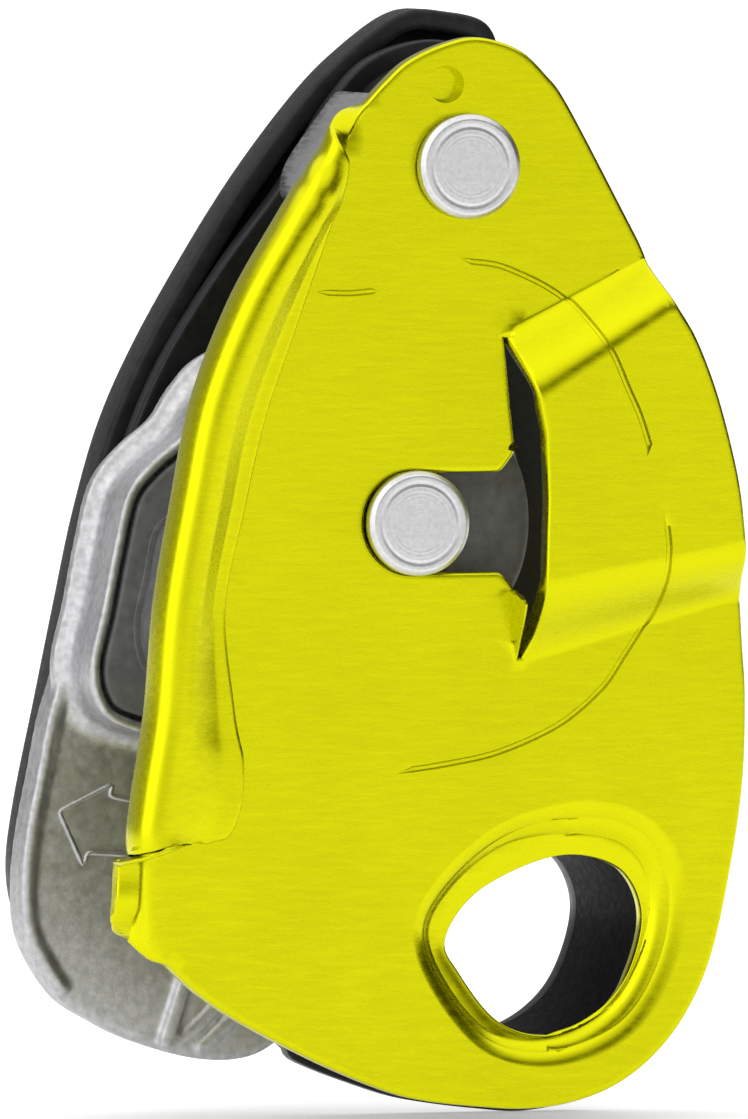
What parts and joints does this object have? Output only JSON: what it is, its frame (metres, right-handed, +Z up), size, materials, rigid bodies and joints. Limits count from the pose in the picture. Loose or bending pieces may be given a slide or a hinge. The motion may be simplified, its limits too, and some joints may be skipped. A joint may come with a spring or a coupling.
{
  "type": "assisted-braking belay device",
  "caption": "Assisted-braking belay device with a swinging yellow-green side plate, a steel cam and a folding black handle.",
  "frame": {"origin": "centre of the attachment hole, half-way through the rope channel", "axes": "+X right across the side plates seen from the moving plate, +Y from the moving side plate to the handle, +Z up from the attachment hole to the side plate's pivot"},
  "size_m": [0.0637, 0.0417, 0.1004],
  "materials": {
    "yellow_green": "satin",
    "black_anodised": "satin",
    "cast_steel": "matte",
    "polished_steel": "satin",
    "spring_steel": "satin",
    "bronze": "satin",
    "grey_nylon": "matte",
    "black_nylon": "matte"
  },
  "bodies": {
    "frame": {"fixed_side_plate": "black_anodised", "attachment_sleeve": "black_nylon", "friction_plate": "polished_steel", "pivot_block": "black_nylon", "pivot_rivet": "polished_steel", "pivot_spacer": "polished_steel", "block_screw_upper": "polished_steel", "block_screw_lower": "polished_steel", "cam_axle": "polished_steel", "axle_nut": "polished_steel", "cam_stop_pin": "polished_steel", "cam_return_spring": "spring_steel", "handle_boss": "black_nylon", "handle_retaining_clip": "spring_steel", "handle_return_spring": "spring_steel", "mode_spring": "spring_steel"},
    "side_plate": {"moving_side_plate": "yellow_green"},
    "cam_body": {"cam": "cast_steel", "cam_cap": "grey_nylon", "cam_bush": "bronze"},
    "handle": {"handle_shell": "black_nylon", "pawl_pin": "polished_steel", "pawl_spring": "spring_steel"},
    "pawl": {"anti_panic_pawl": "cast_steel"},
    "selector": {"selector_knob": "black_nylon", "knob_screw": "polished_steel"}
  },
  "joints": [
    {"name": "side_plate_pivot", "type": "hinge", "parent": "frame", "child": "side_plate", "pos_m": [-0.0078, 0, 0.0702], "axis": [0, 1, 0], "range_deg": [0, 100]},
    {"name": "cam_pivot", "type": "hinge", "parent": "frame", "child": "cam_body", "pos_m": [-0.0126, 0, 0.0381], "axis": [0, 1, 0], "range_deg": [0, 22], "stiffness_Nm_per_rad": 0.2},
    {"name": "handle_pivot", "type": "hinge", "parent": "frame", "child": "handle", "pos_m": [-0.0126, 0, 0.0381], "axis": [0, 1, 0], "range_deg": [-110, 0], "stiffness_Nm_per_rad": 0.05},
    {"name": "pawl_pivot", "type": "hinge", "parent": "handle", "child": "pawl", "pos_m": [-0.028, 0, 0.024], "axis": [0, 1, 0], "range_deg": [0, 20], "stiffness_Nm_per_rad": 0.01},
    {"name": "selector_pivot", "type": "hinge", "parent": "frame", "child": "selector", "pos_m": [-0.0126, 0, 0.0381], "axis": [0, 1, 0], "range_deg": [0, 80]}
  ]
}
